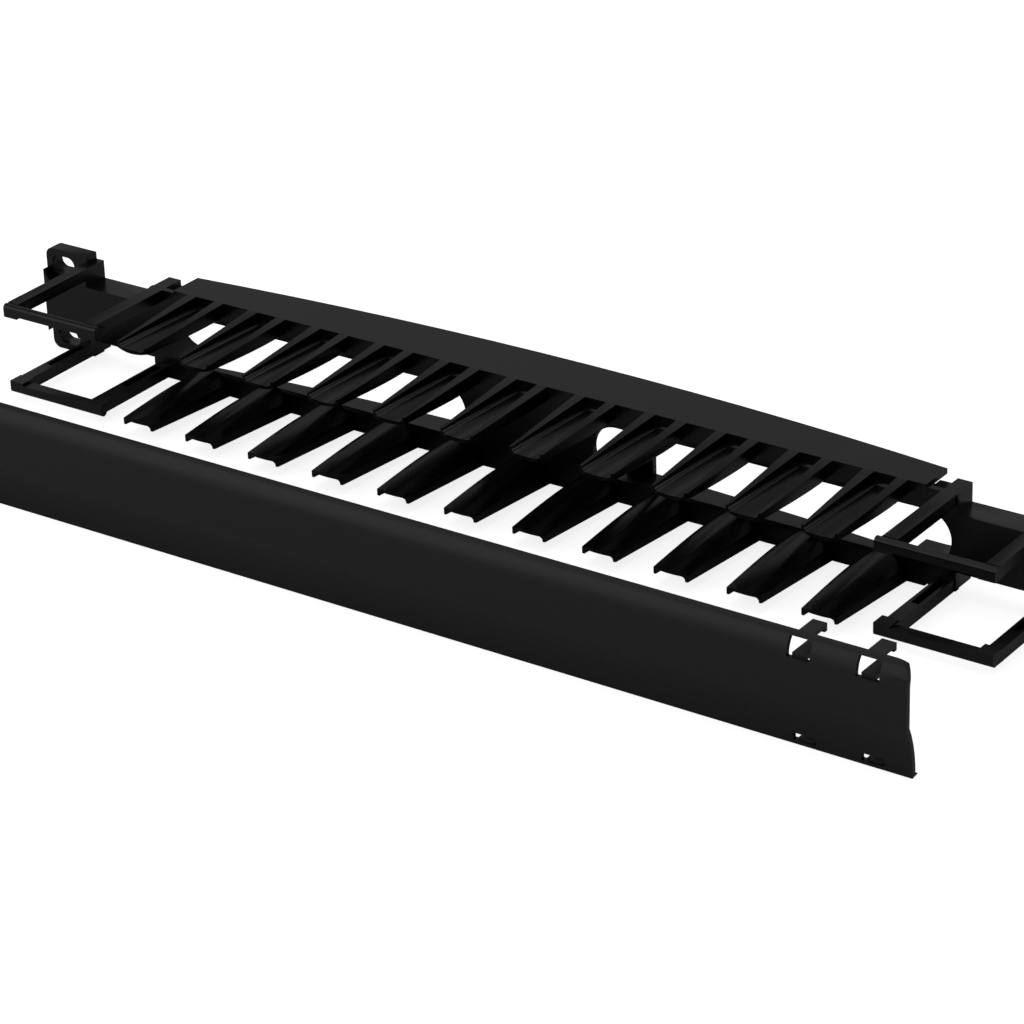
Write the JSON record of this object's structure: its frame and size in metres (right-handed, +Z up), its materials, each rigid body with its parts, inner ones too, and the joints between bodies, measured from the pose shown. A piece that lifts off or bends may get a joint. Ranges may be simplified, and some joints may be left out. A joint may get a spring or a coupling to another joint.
{
  "type": "horizontal cable manager",
  "caption": "One-unit rack cable tray with upper and lower rows of tapering fingers, open end frames, rack ears and a clip-on front cover.",
  "frame": {"origin": "centre of the rack-ear mounting plane, half way between the ears and at mid-height", "axes": "+X to the right along the rack width, +Z up, -Y out of the front of the rack towards the finger tips"},
  "size_m": [0.4826, 0.1469, 0.044],
  "materials": {
    "tray_plastic": "moulded black plastic, satin plates and glossy finger pockets",
    "cover_plastic": "moulded black plastic, fine satin texture"
  },
  "bodies": {
    "tray": {"finger_tray": "tray_plastic"},
    "cover": {"cover": "cover_plastic"}
  },
  "joints": [
    {"name": "cover_clip_on", "type": "slide", "parent": "tray", "child": "cover", "axis": [-0.0902, 0.9959, 0.0057], "range_m": [0, 0.06988]}
  ]
}
